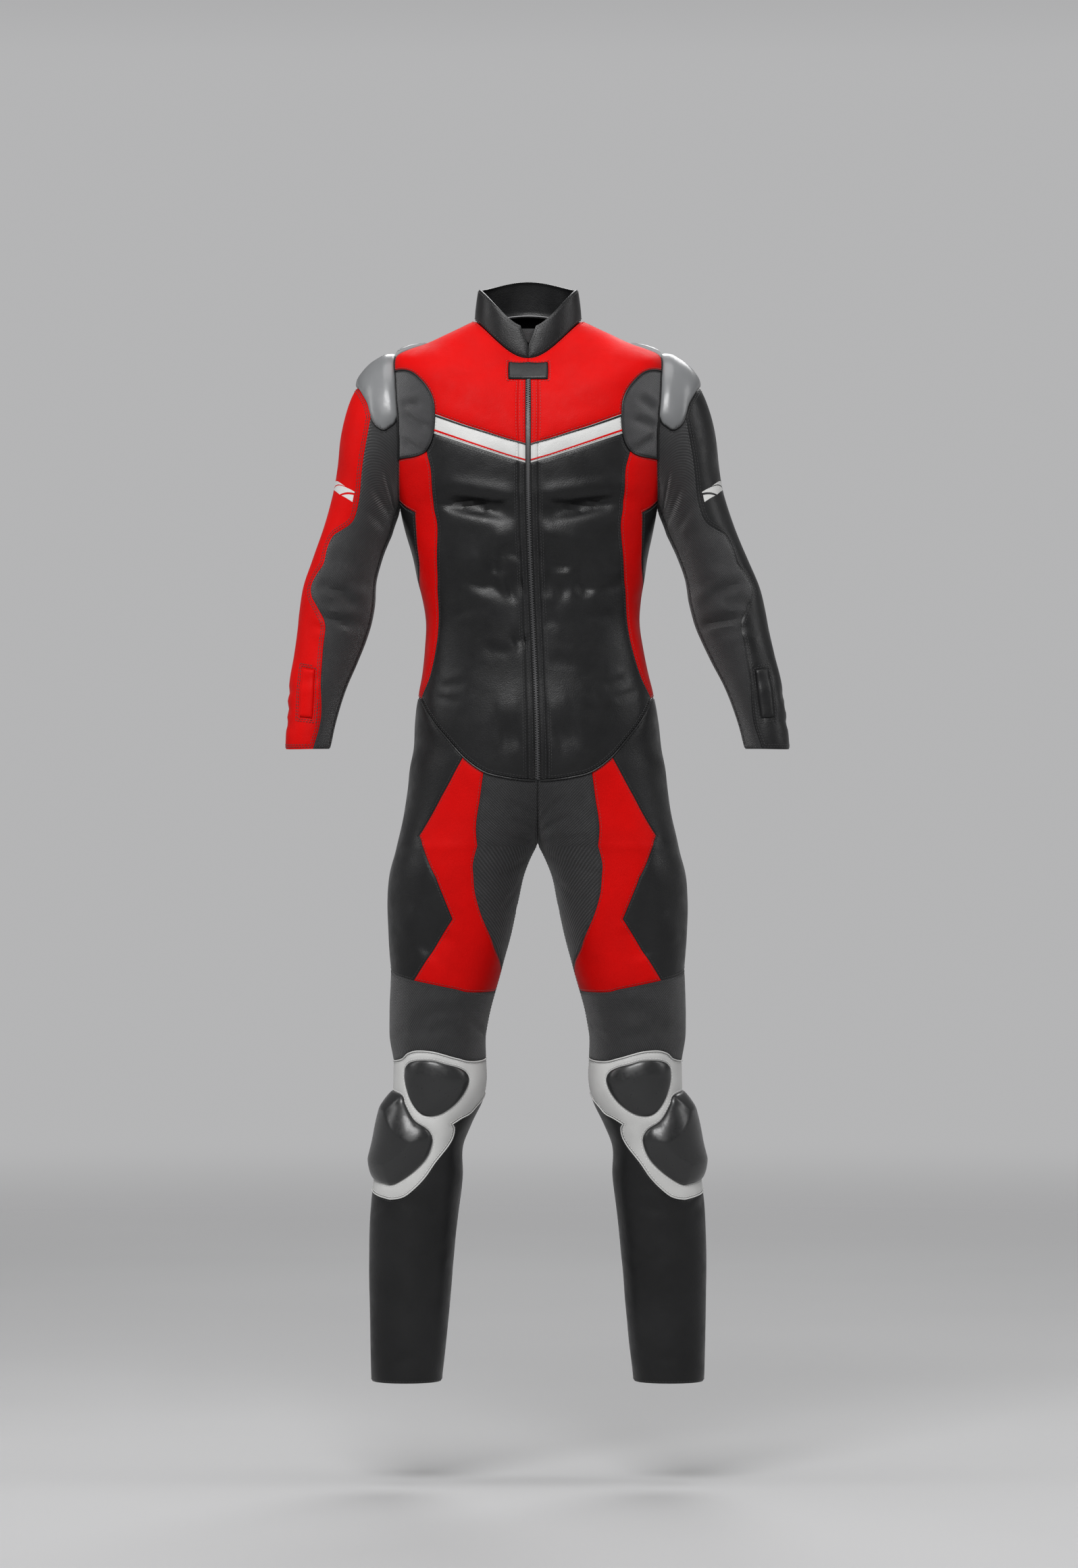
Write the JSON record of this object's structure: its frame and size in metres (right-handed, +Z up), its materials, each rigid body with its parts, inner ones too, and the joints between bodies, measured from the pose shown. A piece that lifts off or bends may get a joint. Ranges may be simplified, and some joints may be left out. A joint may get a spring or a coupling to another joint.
{
  "type": "motorcycle race suit",
  "caption": "One-piece leather race suit worn standing: stand collar, front zip, hard shoulder and knee cups, outer knee sliders, hollow body, sleeves and legs open at neck, cuffs and hems.",
  "frame": {"origin": "middle of the neck at the height of the shoulder line, where the suit hangs on the wearer's shoulders", "axes": "+Z up along the wearer, +X to the wearer's left, -Y to the front"},
  "size_m": [0.674, 0.2488, 1.4788],
  "materials": {
    "black_leather": "satin",
    "red_leather": "satin",
    "white_leather": "satin",
    "stretch_fabric": "matte",
    "grey_plastic": "satin",
    "dark_plastic": "gloss",
    "zip": "satin"
  },
  "bodies": {
    "root": {"collar": "black_leather", "collar_notch": "stretch_fabric", "neck_tab": "black_leather", "zip": "zip", "yoke_back": "black_leather", "back_body": "black_leather", "placket_left": "black_leather", "placket_right": "black_leather", "yoke_front_left": "red_leather", "yoke_front_right": "red_leather", "shoulder_tip_left": "grey_plastic", "shoulder_tip_right": "grey_plastic", "chest_band_left": "white_leather", "chest_band_right": "white_leather", "armhole_panel_left": "stretch_fabric", "armhole_panel_right": "stretch_fabric", "front_body_left": "black_leather", "front_body_right": "black_leather", "side_left": "red_leather", "side_right": "red_leather", "underarm_left": "black_leather", "underarm_right": "black_leather", "seat_left": "black_leather", "seat_right": "black_leather", "inner_panel_left": "stretch_fabric", "inner_panel_right": "stretch_fabric", "thigh_panel_left": "red_leather", "thigh_panel_right": "red_leather", "thigh_outer_left": "black_leather", "thigh_outer_right": "black_leather", "thigh_back_left": "black_leather", "thigh_back_right": "black_leather", "over_knee_left": "stretch_fabric", "over_knee_right": "stretch_fabric", "knee_frame_left": "white_leather", "knee_frame_right": "white_leather", "knee_cup_left": "dark_plastic", "knee_cup_right": "dark_plastic", "knee_slider_left": "dark_plastic", "knee_slider_right": "dark_plastic", "shin_left": "black_leather", "shin_right": "black_leather", "calf_left": "black_leather", "calf_right": "black_leather", "shoulder_cup_left": "grey_plastic", "shoulder_cup_right": "grey_plastic", "sleeve_front_left": "stretch_fabric", "sleeve_front_right": "stretch_fabric", "sleeve_outer_left": "black_leather", "sleeve_outer_right": "red_leather", "sleeve_strip_left": "stretch_fabric", "sleeve_strip_right": "stretch_fabric", "cuff_flap_left": "black_leather", "cuff_flap_right": "red_leather"}
  },
  "joints": []
}
